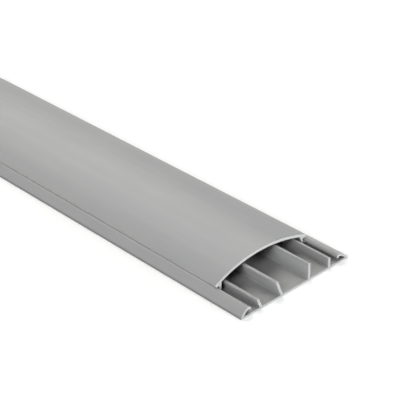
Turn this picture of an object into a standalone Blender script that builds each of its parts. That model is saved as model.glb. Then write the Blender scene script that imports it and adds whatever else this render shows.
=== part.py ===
"""Floor cord cover: a two-piece extruded plastic floor trunking, 2 m long.

The base is one extrusion: a flat floor, four dividers that lean outward and two curved wings
whose lips turn down inside. The lid is a second extrusion: a thin arch whose thicker edges lie
over the wings and whose two legs reach down inside, each with a barb under a wing's lip.

World frame: X across, Y along the length, Z up. The origin is the middle of the underside of
the box round both pieces. The near end, where the lid is set back, faces -Y. Sizes are metres
and angles are radians.
"""
import math

import bmesh
import bpy
from mathutils import Vector

MM = 0.001

# Lengths along Y
STOCK_LENGTH = 2000 * MM
LID_SETBACK = 33.4 * MM
NEAR_END_Y = -(STOCK_LENGTH + LID_SETBACK) / 2

# Base: floor and dividers, each place measured from the middle plane X = 0
BASE_WIDTH = 92 * MM
FLOOR_THICKNESS = 1.3 * MM
DIVIDER_THICKNESS = 1.9 * MM
DIVIDER_LEAN = math.radians(11.4)
INNER_DIVIDER_FOOT = 11.7 * MM
INNER_DIVIDER_TOP = 12.1 * MM
OUTER_DIVIDER_FOOT = 29.2 * MM
OUTER_DIVIDER_TOP = 7.7 * MM
ROOT_FILLET = 0.5 * MM

# Base: wings, a round outer curve that ends in a tighter bend, the lip, which turns straight down.
# The curve would crest at WING_CREST if the lip didn't bend away first.
WING_THICKNESS = 1.7 * MM
WING_CREST = 6.75 * MM
WING_OUTER_RADIUS = 10.5 * MM
WING_ARC_END = math.radians(73.4)
LIP_OUTER_RADIUS = 2 * MM
LIP_FOOT_Z = 4 * MM

# Lid: an arch with a flat underside at each edge, and two legs
LID_TOP = 16.9 * MM
LID_OUTER_RADIUS = 92.95 * MM
LID_THICKNESS = 1.8 * MM
LID_HALF_ANGLE = math.radians(25)
EDGE_REST_Z = 6.7 * MM
LEG_THICKNESS = 1.7 * MM
LEG_ROOT_X = 34.5 * MM
LEG_FOOT_X = 35.85 * MM
LEG_FOOT_Z = 2.5 * MM
BARB_REACH_X = 37.9 * MM
BARB_TOP_Z = 3.7 * MM
BARB_TIP_HEIGHT = 0.9 * MM

# Steps in each round stretch
FILLET_STEPS = 3
WING_STEPS = 10
LIP_STEPS = 8
LID_STEPS = 48

# Looks
BASE_GREY = (0.37, 0.37, 0.365, 1.0)
LID_GREY = (0.38, 0.385, 0.39, 1.0)
PLASTIC_ROUGHNESS = 0.42

MERGE_DISTANCE = 1e-6


def clear_scene():
    """Remove every object of the scene."""
    for obj in list(bpy.data.objects):
        bpy.data.objects.remove(obj, do_unlink=True)


def plastic(name, colour):
    """Make a plain plastic material."""
    material = bpy.data.materials.new(name)
    material.use_nodes = True
    shader = material.node_tree.nodes["Principled BSDF"]
    shader.inputs["Base Color"].default_value = colour
    shader.inputs["Roughness"].default_value = PLASTIC_ROUGHNESS
    shader.inputs["Metallic"].default_value = 0.0
    return material


def arc(centre, radius, start, end, steps):
    """Points of an arc about a centre (x, z), from one angle to another."""
    points = []
    for step in range(steps + 1):
        angle = start + (end - start) * step / steps
        points.append(Vector((centre[0] + radius * math.cos(angle),
                              centre[1] + radius * math.sin(angle))))
    return points


def fillet(before, corner, after, radius):
    """Points that round the corner between two straight edges."""
    back = (before - corner).normalized()
    ahead = (after - corner).normalized()
    half = back.angle(ahead) / 2
    centre = corner + (back + ahead).normalized() * radius / math.sin(half)
    start = corner + back * radius / math.tan(half) - centre
    end = corner + ahead * radius / math.tan(half) - centre
    points = []
    for step in range(FILLET_STEPS + 1):
        spoke = start.lerp(end, step / FILLET_STEPS).normalized() * radius
        points.append(centre + spoke)
    return points


def mirrored(points):
    """A right half of an outline, followed by its mirror image walked back."""
    return points + [Vector((-p.x, p.y)) for p in reversed(points)]


def divider(foot_x, top_z):
    """Outline of one divider from its outer root over its top to its inner root."""
    lean = Vector((math.sin(DIVIDER_LEAN), math.cos(DIVIDER_LEAN)))
    across = Vector((lean.y, -lean.x)) * DIVIDER_THICKNESS / 2
    foot = Vector((foot_x, FLOOR_THICKNESS))
    top = foot + lean * (top_z - FLOOR_THICKNESS) / lean.y
    half_foot = Vector((DIVIDER_THICKNESS / 2 / lean.y, 0))
    beside = Vector((10 * ROOT_FILLET, 0))
    outer_root = fillet(foot + half_foot + beside, foot + half_foot, top + across, ROOT_FILLET)
    inner_root = fillet(top - across, foot - half_foot, foot - half_foot - beside, ROOT_FILLET)
    return outer_root + [top + across, top - across] + inner_root


def wing():
    """Outline of the right wing from its toe over the lip to its root on the floor."""
    centre_z = WING_CREST - WING_OUTER_RADIUS
    centre_x = BASE_WIDTH / 2 - math.sqrt(WING_OUTER_RADIUS ** 2 - centre_z ** 2)
    centre = Vector((centre_x, centre_z))
    inner_radius = WING_OUTER_RADIUS - WING_THICKNESS
    lip_inner_radius = LIP_OUTER_RADIUS - WING_THICKNESS
    spoke = Vector((math.cos(WING_ARC_END), math.sin(WING_ARC_END)))
    lip_centre = centre + spoke * (WING_OUTER_RADIUS - LIP_OUTER_RADIUS)
    toe = math.asin(-centre_z / WING_OUTER_RADIUS)
    root = math.asin((FLOOR_THICKNESS - centre_z) / inner_radius)
    outside = arc(centre, WING_OUTER_RADIUS, toe, WING_ARC_END, WING_STEPS)
    lip_outside = arc(lip_centre, LIP_OUTER_RADIUS, WING_ARC_END, math.pi, LIP_STEPS)
    lip_foot = [Vector((lip_centre.x - LIP_OUTER_RADIUS, LIP_FOOT_Z)),
                Vector((lip_centre.x - lip_inner_radius, LIP_FOOT_Z))]
    lip_inside = arc(lip_centre, lip_inner_radius, math.pi, WING_ARC_END, FILLET_STEPS)
    inside = arc(centre, inner_radius, WING_ARC_END, root, WING_STEPS)
    return outside + lip_outside[1:] + lip_foot + lip_inside + inside[1:]


def base_outline():
    """The base's closed section: floor, four dividers and two wings."""
    half = wing()
    half += divider(OUTER_DIVIDER_FOOT, OUTER_DIVIDER_TOP)
    half += divider(INNER_DIVIDER_FOOT, INNER_DIVIDER_TOP)
    return mirrored(half)


def leg(centre_z):
    """Outline of the right leg from under the lid's edge round the barb to its inner root."""
    inner_radius = LID_OUTER_RADIUS - LID_THICKNESS
    half = Vector((LEG_THICKNESS / 2, 0))
    foot = Vector((LEG_FOOT_X, LEG_FOOT_Z))

    def root(side):
        x = LEG_ROOT_X + side * half.x
        return Vector((x, centre_z + math.sqrt(inner_radius ** 2 - x ** 2)))

    def on_leg(side, z):
        top = root(side)
        bottom = foot + side * half
        return bottom.lerp(top, (z - bottom.y) / (top.y - bottom.y))

    under_edge = on_leg(1, EDGE_REST_Z)
    beside = Vector((10 * ROOT_FILLET, 0))
    outer_root = fillet(under_edge + beside, under_edge, on_leg(1, BARB_TOP_Z), ROOT_FILLET)
    slope = Vector((centre_z - root(-1).y, root(-1).x)).normalized() * 10 * ROOT_FILLET
    inner_root = fillet(foot - half, root(-1), root(-1) + slope, ROOT_FILLET)
    barb = [on_leg(1, BARB_TOP_Z), Vector((BARB_REACH_X, BARB_TOP_Z)),
            Vector((BARB_REACH_X, BARB_TOP_Z - BARB_TIP_HEIGHT)), foot + half]
    return outer_root + barb + [foot - half] + inner_root


def lid_outline():
    """The lid's closed section: the arch, its flat-bottomed edges and its two legs."""
    centre = Vector((0, LID_TOP - LID_OUTER_RADIUS))
    inner_radius = LID_OUTER_RADIUS - LID_THICKNESS
    edge = math.pi / 2 - LID_HALF_ANGLE
    spoke = Vector((math.cos(edge), math.sin(edge)))
    outside = arc(centre, LID_OUTER_RADIUS, math.pi / 2, edge, LID_STEPS // 2)
    rest = outside[-1] - spoke * (outside[-1].y - EDGE_REST_Z) / spoke.y
    right_leg = leg(centre.y)
    last = right_leg[-1] - centre
    inside = arc(centre, inner_radius, math.atan2(last.y, last.x), math.pi / 2, LID_STEPS // 2)
    half = outside[1:] + [rest] + right_leg + inside[1:-1]
    left = [Vector((-p.x, p.y)) for p in reversed(half)]
    return [outside[0]] + half + [inside[-1]] + left


def extruded(name, outline, near_y, material, collection):
    """Make a closed mesh by running an outline along Y for the stock length."""
    curve = bpy.data.curves.new(name, "CURVE")
    curve.dimensions = "2D"
    curve.fill_mode = "BOTH"
    curve.extrude = STOCK_LENGTH / 2
    spline = curve.splines.new("POLY")
    spline.points.add(len(outline) - 1)
    for point, place in zip(spline.points, outline):
        point.co = (place.x, place.y, 0, 1)
    spline.use_cyclic_u = True
    rough = bpy.data.objects.new(name + "_curve", curve)
    collection.objects.link(rough)
    bpy.context.view_layer.update()

    evaluated = rough.evaluated_get(bpy.context.evaluated_depsgraph_get())
    mesh = bpy.data.meshes.new_from_object(evaluated)
    bpy.data.objects.remove(rough, do_unlink=True)
    solid = bmesh.new()
    solid.from_mesh(mesh)
    bmesh.ops.remove_doubles(solid, verts=solid.verts, dist=MERGE_DISTANCE)
    bmesh.ops.recalc_face_normals(solid, faces=solid.faces)
    solid.to_mesh(mesh)
    solid.free()

    obj = bpy.data.objects.new(name, mesh)
    obj.location = (0, near_y + STOCK_LENGTH / 2, 0)
    obj.rotation_euler = (math.pi / 2, 0, 0)
    mesh.materials.clear()
    mesh.materials.append(material)
    collection.objects.link(obj)
    smooth_rounds(mesh)
    return obj


def smooth_rounds(mesh):
    """Shade the round stretches smooth and keep the real corners sharp."""
    mesh.shade_smooth()
    mesh.set_sharp_from_angle(angle=math.radians(32))


def main():
    clear_scene()
    collection = bpy.data.collections.new("floor_cord_cover")
    bpy.context.scene.collection.children.link(collection)
    base_plastic = plastic("base_plastic", BASE_GREY)
    lid_plastic = plastic("lid_plastic", LID_GREY)
    extruded("base", base_outline(), NEAR_END_Y, base_plastic, collection)
    extruded("lid", lid_outline(), NEAR_END_Y + LID_SETBACK, lid_plastic, collection)


main()
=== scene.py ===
"""Looks of the floor cord cover: satin grey extrusions with sawn ends, on a pale floor.

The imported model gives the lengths, the overall sizes and the motion. This script draws both
extrusions again with rounded arrises, fine sections and eased saw cuts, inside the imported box,
and adds the finishes, the studio and the camera. Lengths are metres and angles are degrees
unless a name says otherwise. X runs across, Y along the stock, Z up.
"""
import logging
import math
from dataclasses import dataclass
from enum import Enum

import bpy
import numpy as np
from mathutils import Matrix, Vector


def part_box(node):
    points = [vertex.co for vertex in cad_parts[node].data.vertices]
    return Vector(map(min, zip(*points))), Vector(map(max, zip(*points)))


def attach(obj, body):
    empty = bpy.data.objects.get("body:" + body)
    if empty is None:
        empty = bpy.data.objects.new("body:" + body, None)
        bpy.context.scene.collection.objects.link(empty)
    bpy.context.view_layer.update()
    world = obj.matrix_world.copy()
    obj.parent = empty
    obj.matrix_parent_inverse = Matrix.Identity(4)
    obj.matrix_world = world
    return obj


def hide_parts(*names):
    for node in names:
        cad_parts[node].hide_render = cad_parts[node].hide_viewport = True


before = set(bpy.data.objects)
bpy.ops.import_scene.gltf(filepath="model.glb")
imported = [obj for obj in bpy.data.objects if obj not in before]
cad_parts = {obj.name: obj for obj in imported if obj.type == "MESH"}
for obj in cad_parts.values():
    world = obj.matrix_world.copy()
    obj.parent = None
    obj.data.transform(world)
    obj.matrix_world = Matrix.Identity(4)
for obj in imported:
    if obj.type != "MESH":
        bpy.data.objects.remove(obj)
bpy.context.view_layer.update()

LOG = logging.getLogger("cord_cover")
MM = 0.001
PLASTIC_IOR = 1.5
# The part of its range in which a noise mostly lies
NOISE_RANGE = (0.3, 0.7)

Array = np.ndarray


class Facing(Enum):
    """The material slot that a face of an extrusion takes."""

    SKIN = 0
    SAWN = 1


def run(points: Array, radius: float = 0.0) -> Array:
    """Make section corners out of plain points.

    Args:
        points: rows of (x, z).
        radius: the rounding radius that each corner gets.

    Returns:
        Rows of (x, z, radius).
    """
    points = np.atleast_2d(points)
    return np.column_stack([points, np.full(len(points), radius)])


def arc(centre: Array, radius: float, start: float, end: float,
        margins: tuple[float, float] = (0.0, 0.0), spacing: float = 0.35 * MM) -> Array:
    """Sample an arc: the centre plus the radius times (cosine, sine) of evenly spaced angles.

    Args:
        centre: (x, z) of the arc's centre.
        radius: the arc's radius.
        start: first angle, counted from +X towards +Z.
        end: last angle.
        margins: lengths left out at the start and at the end, for a corner that is rounded.
        spacing: the distance between neighbouring points.

    Returns:
        Rows of (x, z, 0).
    """
    low, high = np.radians([start, end])
    way = np.sign(high - low)
    low += way * margins[0] / radius
    high -= way * margins[1] / radius
    count = max(int(np.ceil(abs(high - low) * radius / spacing)), 1)
    angles = np.linspace(low, high, count + 1)
    return run(np.asarray(centre) + radius * np.column_stack([np.cos(angles), np.sin(angles)]))


@dataclass
class Outline:
    """A closed section: its points, their normals, and how much each lies on a rounded arris."""

    points: Array
    normals: Array
    arris: Array

    def inset(self, depth: float) -> Array:
        """Points moved into the material along their normals."""
        return self.points - self.normals * depth

    def perimeter(self) -> Array:
        """Distance along the outline at each point, with the full length as a last entry."""
        steps = np.linalg.norm(np.roll(self.points, -1, axis=0) - self.points, axis=1)
        return np.concatenate([[0.0], np.cumsum(steps)])


def rounded(corners: Array, steps: int = 8) -> Outline:
    """Round the corners of a closed section that is walked anticlockwise.

    Each corner with a radius r is replaced by the arc that touches both of its edges. Its centre
    lies on the bisector, r / sin(half angle) from the corner, and it starts r / tan(half angle)
    along the edge. All corners are worked out at once. A corner without a radius stays a point,
    and its normal is the mean of those of its two edges.

    Args:
        corners: rows of (x, z, radius).
        steps: the number of segments in each rounding.

    Returns:
        The outline, with exact normals on its roundings.
    """
    place, radius = corners[:, :2], corners[:, 2]
    back = np.roll(place, 1, axis=0) - place
    ahead = np.roll(place, -1, axis=0) - place
    back /= np.linalg.norm(back, axis=1, keepdims=True)
    ahead /= np.linalg.norm(ahead, axis=1, keepdims=True)
    turn = back[:, 1] * ahead[:, 0] - back[:, 0] * ahead[:, 1]
    half = np.arccos(np.clip(np.sum(back * ahead, axis=1), -1.0, 1.0)) / 2
    bisector = back + ahead
    bisector /= np.maximum(np.linalg.norm(bisector, axis=1, keepdims=True), 1e-9)
    centre = place + bisector * (radius / np.sin(half))[:, None]
    first = place + back * (radius / np.tan(half))[:, None] - centre
    last = place + ahead * (radius / np.tan(half))[:, None] - centre
    start = np.arctan2(first[:, 1], first[:, 0])
    sweep = np.arctan2(last[:, 1], last[:, 0]) - start
    sweep = (sweep + np.pi) % (2 * np.pi) - np.pi
    share = np.linspace(0.0, 1.0, steps + 1)
    angle = start[:, None] + sweep[:, None] * share
    spoke = np.stack([np.cos(angle), np.sin(angle)], axis=2)
    points = centre[:, None, :] + spoke * radius[:, None, None]
    normals = spoke * np.sign(turn)[:, None, None]

    edge_out = np.column_stack([ahead[:, 1], -ahead[:, 0]])
    plain = edge_out + np.roll(edge_out, 1, axis=0)
    plain /= np.linalg.norm(plain, axis=1, keepdims=True)
    normals = np.where((radius > 0)[:, None, None], normals, plain[:, None, :])
    points = np.where((radius > 0)[:, None, None], points, place[:, None, :])
    hump = np.sin(np.pi * share)[None, :] * ((radius > 0) & (turn > 0))[:, None]
    kept = (radius > 0)[:, None] | (share == 0.0)[None, :]
    return Outline(points[kept], normals[kept], hump[kept])


def mirrored(half: Array) -> Array:
    """Add the left half of a section to its right half, walked back from its end."""
    return np.vstack([half, half[::-1] * (-1.0, 1.0, 1.0)])


@dataclass
class SawnStock:
    """Carries a section along Y between two sawn ends.

    Args:
        near: Y of the near end.
        far: Y of the far end.
        ease: how far each sawn edge is eased.
        bay: the distance between rings of vertices along the stock.
    """

    near: float
    far: float
    ease: float = 0.12 * MM
    bay: float = 40 * MM

    def build(self, name: str, outline: Outline) -> bpy.types.Object:
        """Make the mesh: a vertex is (x of the section, y of the ring, z of the section).

        The first and the last ring are the section moved into the material by the ease, at the
        end planes, and the rings next to them are the full section one ease further in. Each
        end is closed by one face.

        Args:
            name: the piece's name.
            outline: the section to carry.

        Returns:
            The new object, linked to the scene.
        """
        body = np.arange(1, int((self.far - self.near) / self.bay))
        rings = np.concatenate([
            [self.near, self.near + self.ease], self.near + body * self.bay,
            [self.far - self.ease, self.far]])
        width, height = len(outline.points), len(rings)
        section = np.repeat(outline.points[None], height, axis=0)
        section[[0, -1]] = outline.inset(self.ease)
        vertices = np.empty((height, width, 3))
        vertices[..., 0] = section[..., 0]
        vertices[..., 1] = rings[:, None]
        vertices[..., 2] = section[..., 1]

        ring = np.arange(height - 1)[:, None]
        here = np.arange(width)[None, :]
        following = (here + 1) % width
        quads = np.stack([ring * width + here, ring * width + following,
                          (ring + 1) * width + following, (ring + 1) * width + here], axis=2)
        near_cap = np.arange(width)
        far_cap = (height - 1) * width + np.arange(width)[::-1]
        faces = quads[..., ::-1].reshape(-1, 4).tolist() + [near_cap.tolist(), far_cap.tolist()]
        mesh = bpy.data.meshes.new(name)
        mesh.from_pydata(vertices.reshape(-1, 3), [], faces)

        sawn = np.zeros((height - 1, width), dtype=np.int32)
        sawn[[0, -1]] = Facing.SAWN.value
        slots = np.concatenate([sawn.ravel(), [Facing.SAWN.value] * 2]).astype(np.int32)
        mesh.polygons.foreach_set("material_index", slots)
        self._unwrap(mesh, outline, rings)
        self._mark_arrises(mesh, outline, height)
        self._set_normals(mesh, outline, height)
        obj = bpy.data.objects.new(name, mesh)
        bpy.context.scene.collection.objects.link(obj)
        return obj

    def _unwrap(self, mesh: bpy.types.Mesh, outline: Outline, rings: Array) -> None:
        """Lay out the skin by distance: U is the way round the section, V the way along Y.

        The caps are laid out flat, by X and Z.
        """
        around = outline.perimeter()
        height, width = len(rings), len(outline.points)
        ring = np.arange(height - 1)[:, None]
        here = np.arange(width)[None, :]
        corner_u = np.stack([here, here + 1, here + 1, here], axis=2).repeat(height - 1, axis=0)
        corner_v = np.stack([ring + 1, ring + 1, ring, ring], axis=2).repeat(width, axis=1)
        skin = np.stack([around[corner_u], rings[corner_v]], axis=3).reshape(-1, 2)
        layer = mesh.uv_layers.new(name="stock")
        layer.uv.foreach_set("vector", np.vstack(
            [skin, outline.points, outline.points[::-1]]).ravel())

    def _mark_arrises(self, mesh: bpy.types.Mesh, outline: Outline, height: int) -> None:
        """Keep how much each vertex lies on a rounded arris as a point attribute."""
        marks = np.repeat(outline.arris[None], height, axis=0)
        marks[[0, -1]] = 1.0
        layer = mesh.attributes.new("arris", "FLOAT", "POINT")
        layer.data.foreach_set("value", marks.ravel().astype(np.float32))

    def _set_normals(self, mesh: bpy.types.Mesh, outline: Outline, height: int) -> None:
        """Give the skin the section's own normals, and each end plane its flat one."""
        normals = np.zeros((height, len(outline.points), 3))
        normals[..., 0] = outline.normals[:, 0]
        normals[..., 2] = outline.normals[:, 1]
        normals[0] = (0.0, -1.0, 0.0)
        normals[-1] = (0.0, 1.0, 0.0)
        mesh.shade_smooth()
        mesh.normals_split_custom_set_from_vertices(normals.reshape(-1, 3))


@dataclass
class BaseExtrusion:
    """The base: a flat floor, four leaning dividers and two wings that end in turned-down lips.

    bend_margin is the length left out of a round stretch where another one joins it, and
    lip_spacing is the distance between points on the lip's outer and inner bend.
    """

    node: str = "base"
    floor_thickness: float = 1.3 * MM
    divider_thickness: float = 1.9 * MM
    divider_lean: float = 11.4
    divider_feet: tuple[float, float] = (29.2 * MM, 11.7 * MM)
    divider_tops: tuple[float, float] = (7.7 * MM, 12.1 * MM)
    root_fillet: float = 0.5 * MM
    arris: float = 0.32 * MM
    wing_thickness: float = 1.7 * MM
    wing_crest: float = 6.75 * MM
    wing_outer_radius: float = 10.5 * MM
    wing_arc_end: float = 73.4
    lip_outer_radius: float = 2.0 * MM
    lip_foot_z: float = 4.0 * MM
    toe_radius: float = 0.15 * MM
    bend_margin: float = 0.3 * MM
    lip_spacing: tuple[float, float] = (0.15 * MM, 0.1 * MM)

    def wing(self, half_width: float) -> Array:
        """Corners of the right wing, from its toe over the lip to its root on the floor."""
        rise = self.wing_crest - self.wing_outer_radius
        reach = math.sqrt(self.wing_outer_radius ** 2 - rise ** 2)
        centre = np.array([half_width - reach, rise])
        inner = self.wing_outer_radius - self.wing_thickness
        end = math.radians(self.wing_arc_end)
        bend = centre + np.array([math.cos(end), math.sin(end)]) * (
            self.wing_outer_radius - self.lip_outer_radius)
        lip_inner = self.lip_outer_radius - self.wing_thickness
        toe_angle = math.degrees(math.asin(-rise / self.wing_outer_radius))
        root_angle = math.asin((self.floor_thickness - rise) / inner)
        root = centre + inner * np.array([math.cos(root_angle), math.sin(root_angle)])
        return np.vstack([
            run((half_width, 0.0), self.toe_radius),
            arc(centre, self.wing_outer_radius, toe_angle, self.wing_arc_end,
                (2 * self.toe_radius, 0.0)),
            arc(bend, self.lip_outer_radius, self.wing_arc_end, 180.0,
                (self.bend_margin, 0.0), self.lip_spacing[0]),
            run([(bend[0] - self.lip_outer_radius, self.lip_foot_z),
                 (bend[0] - lip_inner, self.lip_foot_z)], self.arris),
            arc(bend, lip_inner, 180.0, self.wing_arc_end, spacing=self.lip_spacing[1]),
            arc(centre, inner, self.wing_arc_end, math.degrees(root_angle),
                (self.bend_margin, 2 * self.root_fillet)),
            run(root, self.root_fillet / 2),
        ])

    def divider(self, foot_x: float, top_z: float) -> Array:
        """Corners of one divider, from its outer root over its top to its inner root."""
        lean = math.radians(self.divider_lean)
        up = np.array([math.sin(lean), math.cos(lean)])
        across = np.array([up[1], -up[0]]) * self.divider_thickness / 2
        foot = np.array([foot_x, self.floor_thickness])
        top = foot + up * (top_z - self.floor_thickness) / up[1]
        half_foot = np.array([self.divider_thickness / 2 / up[1], 0.0])
        return np.vstack([
            run(foot + half_foot, self.root_fillet),
            run([top + across, top - across], self.arris),
            run(foot - half_foot, self.root_fillet),
        ])

    def section(self, half_width: float) -> Array:
        """Corners of the whole section."""
        dividers = [self.divider(*place) for place in zip(self.divider_feet, self.divider_tops)]
        return mirrored(np.vstack([self.wing(half_width), *dividers]))

    def build(self) -> bpy.types.Object:
        """Make the base inside its packed box."""
        low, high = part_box(self.node)
        outline = rounded(self.section(high.x))
        return SawnStock(low.y, high.y).build("base_extrusion", outline)


@dataclass
class LidExtrusion:
    """The lid: a thin arch with flat-bottomed edges and two legs with barbs for the lips.

    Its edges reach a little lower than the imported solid's, so that the seam over the wings is
    fine. inside_spacing and outside_spacing are the distances between points on the arch.
    """

    node: str = "lid"
    outer_radius: float = 92.95 * MM
    thickness: float = 1.8 * MM
    half_angle: float = 25.0
    rest_z: float = 6.45 * MM
    leg_thickness: float = 1.7 * MM
    leg_root_x: float = 34.5 * MM
    leg_foot_x: float = 35.85 * MM
    leg_foot_z: float = 2.5 * MM
    barb_reach_x: float = 37.9 * MM
    barb_top_z: float = 3.7 * MM
    barb_tip_height: float = 0.9 * MM
    root_fillet: float = 0.5 * MM
    edge_round: float = 0.9 * MM
    rest_round: float = 0.16 * MM
    arris: float = 0.3 * MM
    barb_arris: float = 0.15 * MM
    inside_spacing: float = 0.8 * MM
    outside_spacing: float = 0.6 * MM

    def leg(self, centre_z: float) -> Array:
        """Corners of the right leg, from under the edge round the barb to the leg's inner root."""
        inner = self.outer_radius - self.thickness
        half = self.leg_thickness / 2
        foot = np.array([self.leg_foot_x, self.leg_foot_z])

        def root(side: int) -> Array:
            """Where one face of the leg meets the arch's inside."""
            x = self.leg_root_x + side * half
            return np.array([x, centre_z + math.sqrt(inner ** 2 - x ** 2)])

        def on_outer_face(z: float) -> Array:
            """The leg's outer face at a height."""
            share = (z - self.leg_foot_z) / (root(1)[1] - self.leg_foot_z)
            return outer_foot + (root(1) - outer_foot) * share

        outer_foot, inner_foot = foot + (half, 0.0), foot - (half, 0.0)
        return np.vstack([
            run(on_outer_face(self.rest_z), self.root_fillet),
            run(on_outer_face(self.barb_top_z), self.barb_arris),
            run([(self.barb_reach_x, self.barb_top_z),
                 (self.barb_reach_x, self.barb_top_z - self.barb_tip_height)], self.barb_arris),
            run(outer_foot, self.arris),
            run(inner_foot, self.arris),
            run(root(-1), self.root_fillet),
        ])

    def section(self, top_z: float) -> Array:
        """Corners of the whole section, walked over the arch and back along the inside."""
        centre = np.array([0.0, top_z - self.outer_radius])
        inner = self.outer_radius - self.thickness
        edge = 90.0 - self.half_angle
        way = np.array([math.cos(math.radians(edge)), math.sin(math.radians(edge))])
        outer_corner = centre + way * self.outer_radius
        rest_corner = outer_corner - way * (outer_corner[1] - self.rest_z) / way[1]
        leg = self.leg(centre[1])
        inner_root = leg[-1, :2] - centre
        inner_angle = math.degrees(math.atan2(inner_root[1], inner_root[0]))
        inside = arc(centre, inner, inner_angle, 180.0 - inner_angle,
                     (2 * self.root_fillet, 2 * self.root_fillet), self.inside_spacing)
        outside = arc(centre, self.outer_radius, 180.0 - edge, edge,
                      (2 * self.edge_round, 2 * self.edge_round), self.outside_spacing)
        right = np.vstack([
            run(outer_corner, self.edge_round),
            run(rest_corner, self.rest_round),
            leg,
        ])
        left = right[::-1] * (-1.0, 1.0, 1.0)
        return np.vstack([right, inside, left, outside])[::-1]

    def build(self) -> bpy.types.Object:
        """Make the lid inside its packed box."""
        low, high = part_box(self.node)
        outline = rounded(self.section(high.z))
        return SawnStock(low.y, high.y).build("lid_extrusion", outline)


class Graph:
    """Adds nodes to one node tree and joins them.

    Args:
        tree: the node tree of a material, a world or a group.
    """

    def __init__(self, tree: bpy.types.NodeTree) -> None:
        """Keep the tree that the nodes go into."""
        self.tree = tree

    def add(self, kind: str, inputs: dict | None = None, **settings: object) -> bpy.types.Node:
        """Add one node.

        Args:
            kind: the node's type name.
            inputs: what goes into each input, by name or number: another node's output or a value.
            settings: the node's own properties.

        Returns:
            The new node.
        """
        node = self.tree.nodes.new(kind)
        for name, value in settings.items():
            setattr(node, name, value)
        for name, value in (inputs or {}).items():
            if isinstance(value, bpy.types.NodeSocket):
                self.tree.links.new(value, node.inputs[name])
            else:
                node.inputs[name].default_value = value
        return node

    def noise(self, vector: bpy.types.NodeSocket, scale: float, detail: float = 2.0,
              roughness: float = 0.5) -> bpy.types.NodeSocket:
        """A noise texture's value, about 0.5 on average."""
        return self.add("ShaderNodeTexNoise", {
            "Vector": vector, "Scale": scale, "Detail": detail, "Roughness": roughness,
        }).outputs["Fac"]

    def scaled(self, vector: bpy.types.NodeSocket,
               scale: tuple[float, float, float]) -> bpy.types.NodeSocket:
        """A vector multiplied part by part."""
        return self.add("ShaderNodeVectorMath", {0: vector, 1: scale},
                        operation="MULTIPLY").outputs["Vector"]

    def math(self, operation: str, *values: object) -> bpy.types.NodeSocket:
        """One step of arithmetic on outputs or numbers."""
        return self.add("ShaderNodeMath", dict(enumerate(values)),
                        operation=operation).outputs[0]

    def ramp(self, value: bpy.types.NodeSocket, source: tuple[float, float],
             target: tuple[float, float]) -> bpy.types.NodeSocket:
        """A value carried smoothly from one range to another."""
        return self.add("ShaderNodeMapRange", {
            "Value": value, "From Min": source[0], "From Max": source[1],
            "To Min": target[0], "To Max": target[1],
        }, interpolation_type="SMOOTHSTEP").outputs["Result"]

    def blend(self, factor: bpy.types.NodeSocket, first: object,
              second: object) -> bpy.types.NodeSocket:
        """A colour between two, by a factor."""
        return self.add("ShaderNodeMix", {0: factor, 6: first, 7: second},
                        data_type="RGBA").outputs[2]


class Effect(Enum):
    """The effects that several finishes share, each one node group."""

    DIE_LINES = "die_lines"
    SATIN = "satin"
    HANDLING = "handling"
    SAW_MARKS = "saw_marks"


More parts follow.
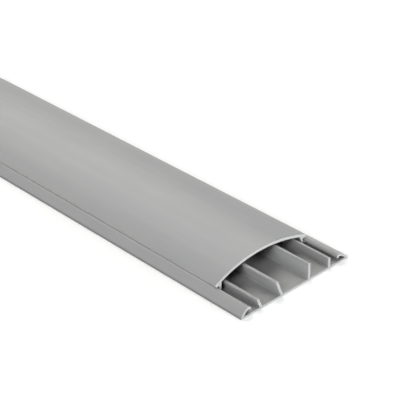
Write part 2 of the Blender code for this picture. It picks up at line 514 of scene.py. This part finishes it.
class Effects:
    """Makes each shared effect once and adds it to the materials that ask for it."""

    def __init__(self) -> None:
        """Make the node group of each effect."""
        makers = {
            Effect.DIE_LINES: self._die_lines,
            Effect.SATIN: self._satin,
            Effect.HANDLING: self._handling,
            Effect.SAW_MARKS: self._saw_marks,
        }
        self.trees = {effect: maker(effect.value) for effect, maker in makers.items()}

    def use(self, graph: Graph, effect: Effect) -> bpy.types.NodeOutputs:
        """Add an effect to a material and give its outputs."""
        return graph.add("ShaderNodeGroup", node_tree=self.trees[effect]).outputs

    @staticmethod
    def _close(graph: Graph, results: dict[str, bpy.types.NodeSocket]) -> bpy.types.NodeTree:
        """Give a group its outputs."""
        for name in results:
            graph.tree.interface.new_socket(name, in_out="OUTPUT", socket_type="NodeSocketFloat")
        graph.add("NodeGroupOutput", results)
        return graph.tree

    def _die_lines(self, name: str) -> bpy.types.NodeTree:
        """Faint lines that the die draws along the stock: noise stretched along the UV map's V."""
        graph = Graph(bpy.data.node_groups.new(name, "ShaderNodeTree"))
        uv = graph.add("ShaderNodeUVMap", uv_map="stock").outputs["UV"]
        fine = graph.noise(graph.scaled(uv, (1300.0, 2.5, 1.0)), scale=1.0, detail=2.0)
        broad = graph.noise(graph.scaled(uv, (170.0, 0.9, 1.0)), scale=1.0, detail=1.0)
        height = graph.math("ADD", graph.math("MULTIPLY", fine, 1.2e-6),
                            graph.math("MULTIPLY", broad, 5.0e-6))
        return self._close(graph, {"Lines": fine, "Bands": broad, "Height": height})

    def _satin(self, name: str) -> bpy.types.NodeTree:
        """The skin's fine grain, and slow changes of tone in the compound."""
        graph = Graph(bpy.data.node_groups.new(name, "ShaderNodeTree"))
        place = graph.add("ShaderNodeTexCoord").outputs["Object"]
        grain = graph.noise(place, scale=2400.0, detail=3.0, roughness=0.6)
        mottle = graph.noise(graph.scaled(place, (1.0, 0.35, 1.0)), scale=38.0, detail=3.0,
                             roughness=0.55)
        height = graph.math("MULTIPLY", grain, 3.0e-6)
        return self._close(graph, {"Grain": grain, "Mottle": mottle, "Height": height})

    def _handling(self, name: str) -> bpy.types.NodeTree:
        """Where the arrises are rubbed paler: the arris attribute, broken up by noise."""
        graph = Graph(bpy.data.node_groups.new(name, "ShaderNodeTree"))
        place = graph.add("ShaderNodeTexCoord").outputs["Object"]
        arris = graph.add("ShaderNodeAttribute", attribute_name="arris").outputs["Fac"]
        patches = graph.noise(graph.scaled(place, (1.0, 0.4, 1.0)), scale=260.0, detail=3.0,
                              roughness=0.6)
        wear = graph.math("MULTIPLY", graph.ramp(arris, (0.35, 1.0), (0.0, 1.0)),
                          graph.ramp(patches, NOISE_RANGE, (0.35, 1.0)))
        return self._close(graph, {"Wear": wear})

    def _saw_marks(self, name: str) -> bpy.types.NodeTree:
        """What the saw leaves on an end: near-upright scratches in X and Z, and torn specks."""
        graph = Graph(bpy.data.node_groups.new(name, "ShaderNodeTree"))
        place = graph.add("ShaderNodeTexCoord").outputs["Object"]
        lean = graph.add("ShaderNodeVectorRotate", {
            "Vector": place, "Axis": (0.0, 1.0, 0.0), "Angle": math.radians(12.0)}).outputs[0]
        strokes = graph.noise(graph.scaled(lean, (2600.0, 1.0, 160.0)), scale=1.0, detail=3.0,
                              roughness=0.6)
        specks = graph.noise(place, scale=1500.0, detail=2.0)
        height = graph.math("ADD", graph.math("MULTIPLY", strokes, 9.0e-6),
                            graph.math("MULTIPLY", specks, 5.0e-6))
        return self._close(graph, {"Strokes": strokes, "Specks": specks, "Height": height})


def grey(value: float, tint: tuple[float, float, float] = (1.0, 1.0, 1.0)) -> tuple:
    """A grey of this reflectance with a slight tint, as a colour with alpha."""
    return tuple(value * part for part in tint) + (1.0,)


@dataclass(frozen=True)
class PlasticSkin:
    """The satin skin that the die leaves, with faint lines along the stock.

    Args:
        name: the material's name.
        tones: the darkest and the lightest colour of the compound.
        worn_and_seam_light: the colour of rubbed plastic on the arrises, and of the painted light
            along the seam under the lid's edge.
        roughness: the roughness between the grain's hollows and its peaks.
        foot: how far from the middle plane the painted shade along the wing's foot begins and is
            full.
        foot_shade_colour: the colour of that painted shade.
        seam_light: how far from the middle plane the painted light along the top of each wing,
            under the lid's edge, begins, is full, begins to fade and ends; it lifts the shade that
            the edge casts there.
        seam_light_start: the Y where that painted light starts.
        seam_light_rise: the length along which it grows to full.
        wing_level: the height over which a surface counts as the top of a wing there.
    """

    name: str
    tones: tuple[tuple, tuple]
    worn_and_seam_light: tuple
    roughness: tuple[float, float] = (0.40, 0.47)
    # The painted shade along the wing's foot, where it meets the floor.
    foot: tuple[float, float] | None = None
    foot_shade_colour: tuple = (0.18, 0.18, 0.18, 1.0)
    # The painted light along the seam under the lid's edge.
    seam_light: tuple[float, float, float, float] | None = None
    seam_light_start: float = 0.0
    seam_light_rise: float = 3 * MM
    wing_level: float = 5 * MM

    def material(self, effects: Effects) -> bpy.types.Material:
        """Make the material with the shared effects."""
        material = bpy.data.materials.new(self.name)
        material.use_nodes = True
        graph = Graph(material.node_tree)
        shader = material.node_tree.nodes["Principled BSDF"]
        lines = effects.use(graph, Effect.DIE_LINES)
        satin = effects.use(graph, Effect.SATIN)
        handling = effects.use(graph, Effect.HANDLING)
        tone = graph.math("ADD", graph.math("MULTIPLY", satin["Mottle"], 0.6),
                          graph.math("MULTIPLY", lines["Bands"], 0.4))
        compound = graph.blend(graph.ramp(tone, NOISE_RANGE, (0.0, 1.0)), *self.tones)
        colour = graph.blend(handling["Wear"], compound, self.worn_and_seam_light)
        # Painted light: a paler band along the top of each wing under the lid's edge, lifting the
        # shade that the edge casts there.
        if self.seam_light:
            colour = graph.blend(self._painted_seam_light(graph), colour, self.worn_and_seam_light)
        # Painted shade: a darker band along each wing's foot, where it meets the floor.
        if self.foot:
            colour = graph.blend(self._painted_foot_shade(graph), colour, self.foot_shade_colour)
        texture = graph.math("ADD", graph.math("MULTIPLY", satin["Grain"], 0.7),
                             graph.math("MULTIPLY", lines["Lines"], 0.3))
        roughness = graph.ramp(texture, NOISE_RANGE, self.roughness)
        height = graph.math("ADD", satin["Height"], lines["Height"])
        bump = graph.add("ShaderNodeBump", {"Height": height, "Distance": 1.0, "Strength": 1.0})
        links = material.node_tree.links
        links.new(colour, shader.inputs["Base Color"])
        links.new(roughness, shader.inputs["Roughness"])
        links.new(bump.outputs["Normal"], shader.inputs["Normal"])
        shader.inputs["IOR"].default_value = PLASTIC_IOR
        return material

    def _painted_foot_shade(self, graph: Graph) -> bpy.types.NodeSocket:
        """How much of the painted shade along the wing's foot lies here, from the distance to the
        middle plane.
        """
        place = graph.add("ShaderNodeTexCoord").outputs["Object"]
        across = graph.add("ShaderNodeSeparateXYZ", {"Vector": place}).outputs["X"]
        return graph.ramp(graph.math("ABSOLUTE", across), self.foot, (0.0, 1.0))

    def _painted_seam_light(self, graph: Graph) -> bpy.types.NodeSocket:
        """How much of the painted light along the top of each wing, under the lid's edge, lies
        here.
        """
        place = graph.add("ShaderNodeTexCoord").outputs["Object"]
        parts = graph.add("ShaderNodeSeparateXYZ", {"Vector": place}).outputs
        across = graph.math("ABSOLUTE", parts["X"])
        line = graph.math("MULTIPLY", graph.ramp(across, self.seam_light[:2], (0.0, 1.0)),
                          graph.ramp(across, self.seam_light[2:], (1.0, 0.0)))
        begun = graph.ramp(parts["Y"], (self.seam_light_start, self.seam_light_start + self.seam_light_rise),
                           (0.0, 1.0))
        on_top = graph.math("GREATER_THAN", parts["Z"], self.wing_level)
        return graph.math("MULTIPLY", graph.math("MULTIPLY", line, begun), on_top)


@dataclass(frozen=True)
class SawnEnd:
    """The dull, paler face that a saw leaves on the plastic.

    Args:
        name: the material's name.
        tones: the colour in the saw's hollows and on its torn fibres.
        roughness: the roughness between those.
    """

    name: str
    tones: tuple[tuple, tuple]
    roughness: tuple[float, float] = (0.55, 0.75)

    def material(self, effects: Effects) -> bpy.types.Material:
        """Make the material with the shared effects."""
        material = bpy.data.materials.new(self.name)
        material.use_nodes = True
        graph = Graph(material.node_tree)
        shader = material.node_tree.nodes["Principled BSDF"]
        marks = effects.use(graph, Effect.SAW_MARKS)
        colour = graph.blend(graph.ramp(marks["Strokes"], NOISE_RANGE, (0.0, 1.0)), *self.tones)
        roughness = graph.ramp(marks["Specks"], NOISE_RANGE, self.roughness)
        bump = graph.add("ShaderNodeBump", {
            "Height": marks["Height"], "Distance": 1.0, "Strength": 1.0})
        links = material.node_tree.links
        links.new(colour, shader.inputs["Base Color"])
        links.new(roughness, shader.inputs["Roughness"])
        links.new(bump.outputs["Normal"], shader.inputs["Normal"])
        shader.inputs["IOR"].default_value = PLASTIC_IOR
        return material


@dataclass(frozen=True)
class Softbox:
    """A square area light that looks at a point.

    Args:
        name: the light's name.
        target: what it looks at.
        azimuth: where it stands, counted from +Y towards +X.
        elevation: how high it stands over the horizon.
        size: its side.
        power: its power in watts.
        colour: its colour.
        distance: how far off it is.
    """

    name: str
    target: tuple[float, float, float]
    azimuth: float
    elevation: float
    size: float
    power: float
    colour: tuple[float, float, float]
    distance: float = 10.0

    def place(self) -> None:
        """Add the light to the scene."""
        light = bpy.data.lights.new(self.name, "AREA")
        light.shape = "SQUARE"
        light.size = self.size
        light.energy = self.power
        light.color = self.colour
        turn, rise = math.radians(self.azimuth), math.radians(self.elevation)
        way = Vector((math.sin(turn) * math.cos(rise), math.cos(turn) * math.cos(rise),
                      math.sin(rise)))
        obj = bpy.data.objects.new(self.name, light)
        obj.location = Vector(self.target) + way * self.distance
        obj.rotation_euler = way.to_track_quat("Z", "Y").to_euler()
        bpy.context.scene.collection.objects.link(obj)


@dataclass(frozen=True)
class Viewpoint:
    """The photograph's camera.

    Args:
        place: where the camera is.
        azimuth: the way it looks, counted from +Y towards +X.
        elevation: how far down it looks.
        roll: how far the frame is turned about the way it looks.
        lens: the focal length in millimetres.
        sensor: the sensor's width in millimetres.
        reach: how far the camera sees.
    """

    place: tuple[float, float, float] = (-0.5360, -1.7563, 0.6096)
    azimuth: float = 32.75
    elevation: float = 30.25
    roll: float = -10.28
    lens: float = 152.64
    sensor: float = 36.0
    reach: float = 50.0

    def set(self) -> None:
        """Add the camera and make it the scene's own."""
        camera = bpy.data.cameras.new("camera")
        camera.lens = self.lens
        camera.sensor_width = self.sensor
        camera.clip_end = self.reach
        turn, fall, roll = (math.radians(v) for v in (self.azimuth, self.elevation, self.roll))
        ahead = Vector((math.sin(turn) * math.cos(fall), math.cos(turn) * math.cos(fall),
                        -math.sin(fall)))
        level = Vector((math.cos(turn), -math.sin(turn), 0.0))
        up = level.cross(ahead)
        right = level * math.cos(roll) + up * math.sin(roll)
        top = up * math.cos(roll) - level * math.sin(roll)
        obj = bpy.data.objects.new("camera", camera)
        obj.matrix_world = Matrix.Translation(self.place) @ Matrix(
            (right, top, -ahead)).transposed().to_4x4()
        bpy.context.scene.collection.objects.link(obj)
        bpy.context.scene.camera = obj


@dataclass
class Studio:
    """A pale floor, a faint even sky before a pale backdrop, and a few large softboxes."""

    floor_size: float = 12.0
    floor_drop: float = 0.02 * MM
    floor_grey: float = 0.97
    floor_lift: float = 0.09
    sky: tuple[float, float, float] = (0.985, 0.995, 1.0)
    sky_strength: float = 0.02
    backdrop_strength: float = 0.95
    warm: tuple[float, float, float] = (1.0, 0.997, 0.955)
    cool: tuple[float, float, float] = (0.99, 1.0, 1.01)
    seen_part: tuple[float, float, float] = (0.0, -0.87, 0.017)

    def softboxes(self) -> list[Softbox]:
        """The softboxes, aimed at the part that the camera sees."""
        target, warm, cool = self.seen_part, self.warm, self.cool
        return [
            Softbox("rear_low_softbox", target, 31.0, 30.0, 4.4, 174.0, warm),
            Softbox("rear_high_softbox", target, 31.0, 55.0, 4.4, 282.0, warm),
            Softbox("far_softbox", target, 5.0, 38.0, 4.4, 179.0, warm),
            Softbox("front_softbox", target, 150.0, 20.0, 4.4, 468.0, cool),
            Softbox("left_low_softbox", target, 270.0, 20.0, 4.4, 396.0, cool),
            Softbox("left_softbox", target, 240.0, 38.0, 4.4, 420.0, cool),
            Softbox("right_softbox", target, 90.0, 8.0, 2.8, 764.0, cool),
        ]

    def set(self) -> None:
        """Add the floor, the sky and the lights."""
        self._lay_floor()
        world = bpy.data.worlds.new("sky")
        world.use_nodes = True
        background = world.node_tree.nodes["Background"]
        background.inputs["Color"].default_value = (*self.sky, 1.0)
        graph = Graph(world.node_tree)
        seen = graph.add("ShaderNodeLightPath").outputs["Is Camera Ray"]
        strength = graph.math("MULTIPLY_ADD", seen, self.backdrop_strength, self.sky_strength)
        world.node_tree.links.new(strength, background.inputs["Strength"])
        bpy.context.scene.world = world
        for softbox in self.softboxes():
            softbox.place()
        bpy.context.scene.view_settings.view_transform = "Standard"

    def _lay_floor(self) -> None:
        """Lay a plain square floor just under the base, with a faint tooth.

        The lift is a faint glow that only the camera sees, as from a sheet lit from below.
        """
        half, level = self.floor_size / 2, -self.floor_drop
        mesh = bpy.data.meshes.new("floor")
        mesh.from_pydata([(-half, -half, level), (half, -half, level), (half, half, level),
                          (-half, half, level)], [], [(0, 1, 2, 3)])
        floor = bpy.data.objects.new("floor", mesh)
        bpy.context.scene.collection.objects.link(floor)
        material = bpy.data.materials.new("floor_paper")
        material.use_nodes = True
        graph = Graph(material.node_tree)
        shader = material.node_tree.nodes["Principled BSDF"]
        place = graph.add("ShaderNodeTexCoord").outputs["Object"]
        tooth = graph.noise(place, scale=700.0, detail=2.0)
        roughness = graph.ramp(tooth, NOISE_RANGE, (0.85, 0.95))
        seen = graph.add("ShaderNodeLightPath").outputs["Is Camera Ray"]
        glow = graph.math("MULTIPLY", seen, self.floor_lift)
        material.node_tree.links.new(roughness, shader.inputs["Roughness"])
        material.node_tree.links.new(glow, shader.inputs["Emission Strength"])
        shader.inputs["Emission Color"].default_value = grey(1.0)
        shader.inputs["Base Color"].default_value = grey(self.floor_grey)
        shader.inputs["Specular IOR Level"].default_value = 0.1
        mesh.materials.append(material)


def dress(obj: bpy.types.Object, materials: dict[Facing, bpy.types.Material]) -> None:
    """Give a piece its materials, in the order of the facings."""
    for facing in Facing:
        obj.data.materials.append(materials[facing])


def main() -> None:
    """Build both pieces, dress them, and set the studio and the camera."""
    logging.basicConfig(level=logging.INFO, format="%(name)s: %(message)s")
    effects = Effects()
    base_tint, cool, warm = (1.0, 1.0, 0.995), (0.985, 1.0, 1.02), (1.0, 1.0, 0.985)
    sawn_ends = {
        "base": SawnEnd("base_sawn_plastic", (grey(0.50), grey(0.62))).material(effects),
        # The lid's sawn end is coloured lighter than the base's: partly the paler saw cut, partly
        # painted light for the light that its end plane gets less of.
        "lid": SawnEnd("lid_sawn_plastic_painted_light", (grey(0.75), grey(0.87))).material(effects),
    }
    skins = {
        "base": PlasticSkin("base_plastic_skin", (grey(0.305, base_tint), grey(0.335, base_tint)),
                            # The foot argument places a painted shade along each wing's foot,
                            # where it meets the floor.
                            grey(0.45), (0.50, 0.58), foot=(44.95 * MM, 45.7 * MM),
                            # The next two arguments place a painted light along the top of each
                            # wing under the lid's edge.
                            seam_light=(37.6 * MM, 38.4 * MM, 39.3 * MM, 40.6 * MM),
                            seam_light_start=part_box("lid")[0].y),
        "lid": PlasticSkin("lid_plastic_skin", (grey(0.288, cool), grey(0.315, warm)),
                           grey(0.40)),
    }
    for piece in (BaseExtrusion(), LidExtrusion()):
        obj = piece.build()
        skin = skins[piece.node].material(effects)
        dress(obj, {Facing.SKIN: skin, Facing.SAWN: sawn_ends[piece.node]})
        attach(obj, piece.node)
        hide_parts(piece.node)
        LOG.info("%s: %d vertices, %d faces", obj.name, len(obj.data.vertices),
                 len(obj.data.polygons))
    Studio().set()
    Viewpoint().set()
    LOG.info("sizes written")


if __name__ == "__main__":
    main()
